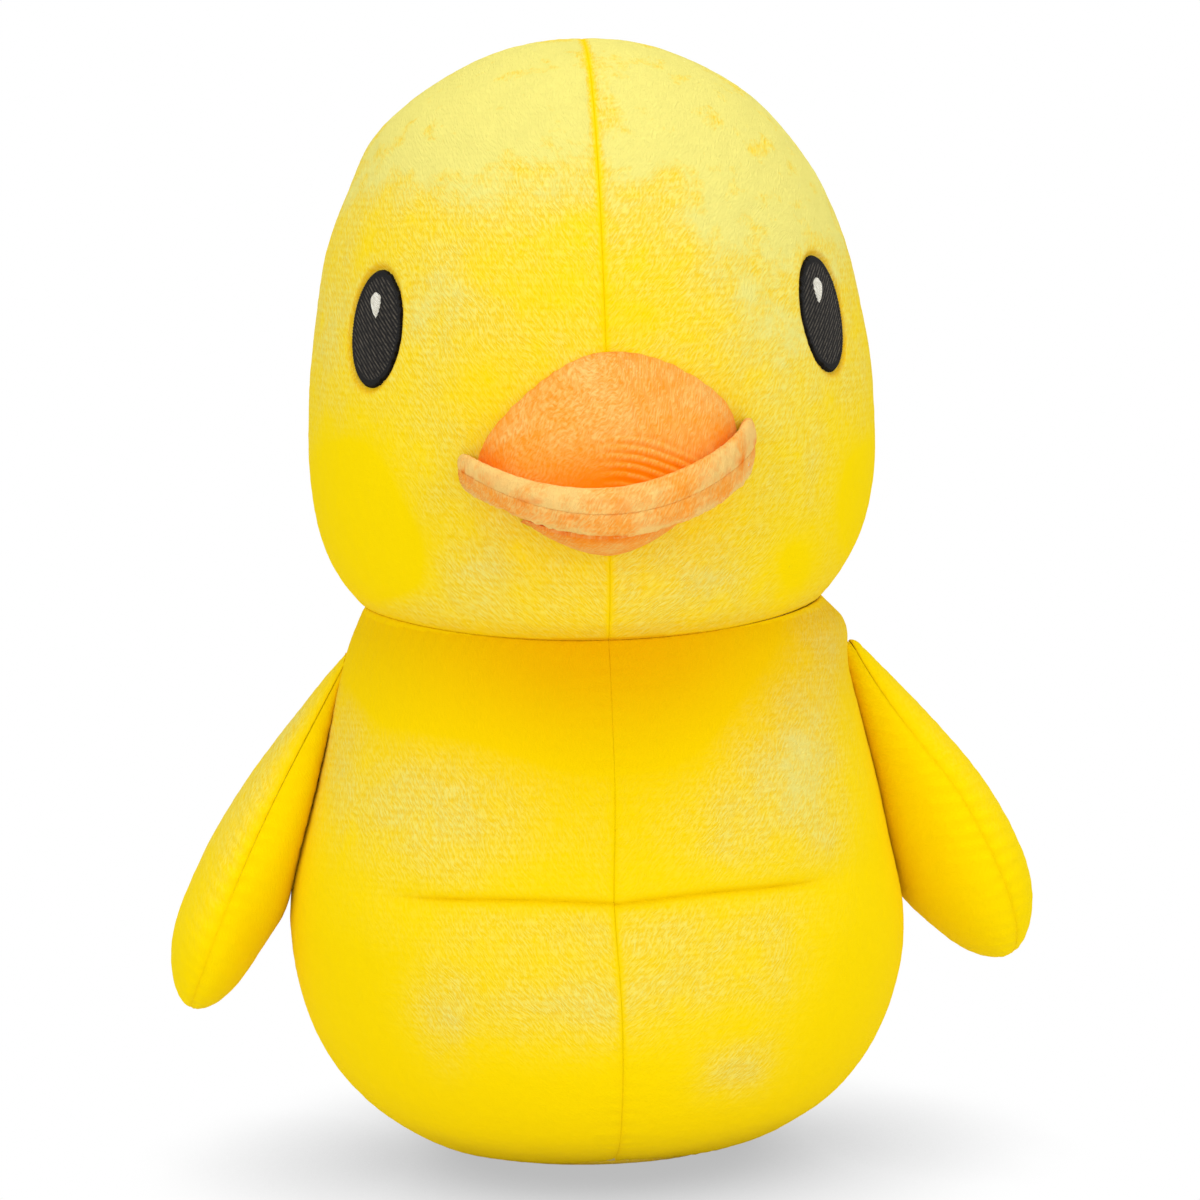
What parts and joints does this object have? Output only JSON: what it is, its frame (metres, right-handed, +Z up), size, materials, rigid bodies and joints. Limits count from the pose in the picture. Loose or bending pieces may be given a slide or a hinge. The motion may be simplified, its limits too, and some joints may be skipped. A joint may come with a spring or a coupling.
{
  "type": "plush duck",
  "caption": "Stuffed plush duck that stands on its round base, with an egg-shaped head, padded bill, embroidered eyes and two sewn-on wings that lift.",
  "frame": {"origin": "on the floor, in the middle of the base that the duck stands on", "axes": "+Z up, -Y the way the duck looks, +X to the duck's own left"},
  "size_m": [0.159, 0.1222, 0.2],
  "materials": {
    "yellow_velour": "matte",
    "orange_velour": "matte",
    "black_thread": "satin",
    "white_thread": "satin",
    "fibre_fill": "matte",
    "pouch_calico": "matte"
  },
  "bodies": {
    "duck": {"head_front_left_panel": "yellow_velour", "head_front_right_panel": "yellow_velour", "head_back_left_panel": "yellow_velour", "head_back_right_panel": "yellow_velour", "body_front_left_panel": "yellow_velour", "body_front_right_panel": "yellow_velour", "body_back_left_panel": "yellow_velour", "body_back_right_panel": "yellow_velour", "base_panel": "yellow_velour", "upper_bill_top_panel": "orange_velour", "upper_bill_under_panel": "orange_velour", "lower_bill_top_panel": "orange_velour", "lower_bill_under_panel": "orange_velour", "left_eye_embroidery": "black_thread", "right_eye_embroidery": "black_thread", "left_eye_highlight": "white_thread", "right_eye_highlight": "white_thread", "head_stuffing": "fibre_fill", "body_stuffing": "fibre_fill", "upper_bill_stuffing": "fibre_fill", "pellet_pouch": "pouch_calico"},
    "left_wing": {"left_wing_outer_panel": "yellow_velour", "left_wing_inner_panel": "yellow_velour", "left_wing_stuffing": "fibre_fill"},
    "right_wing": {"right_wing_outer_panel": "yellow_velour", "right_wing_inner_panel": "yellow_velour", "right_wing_stuffing": "fibre_fill"}
  },
  "joints": [
    {"name": "left_wing_lift", "type": "hinge", "parent": "duck", "child": "left_wing", "pos_m": [0.04728, 0, 0.0905], "axis": [0, -1, 0], "range_deg": [0, 110]},
    {"name": "right_wing_lift", "type": "hinge", "parent": "duck", "child": "right_wing", "pos_m": [-0.04728, 0, 0.0905], "axis": [0, 1, 0], "range_deg": [0, 110]}
  ]
}
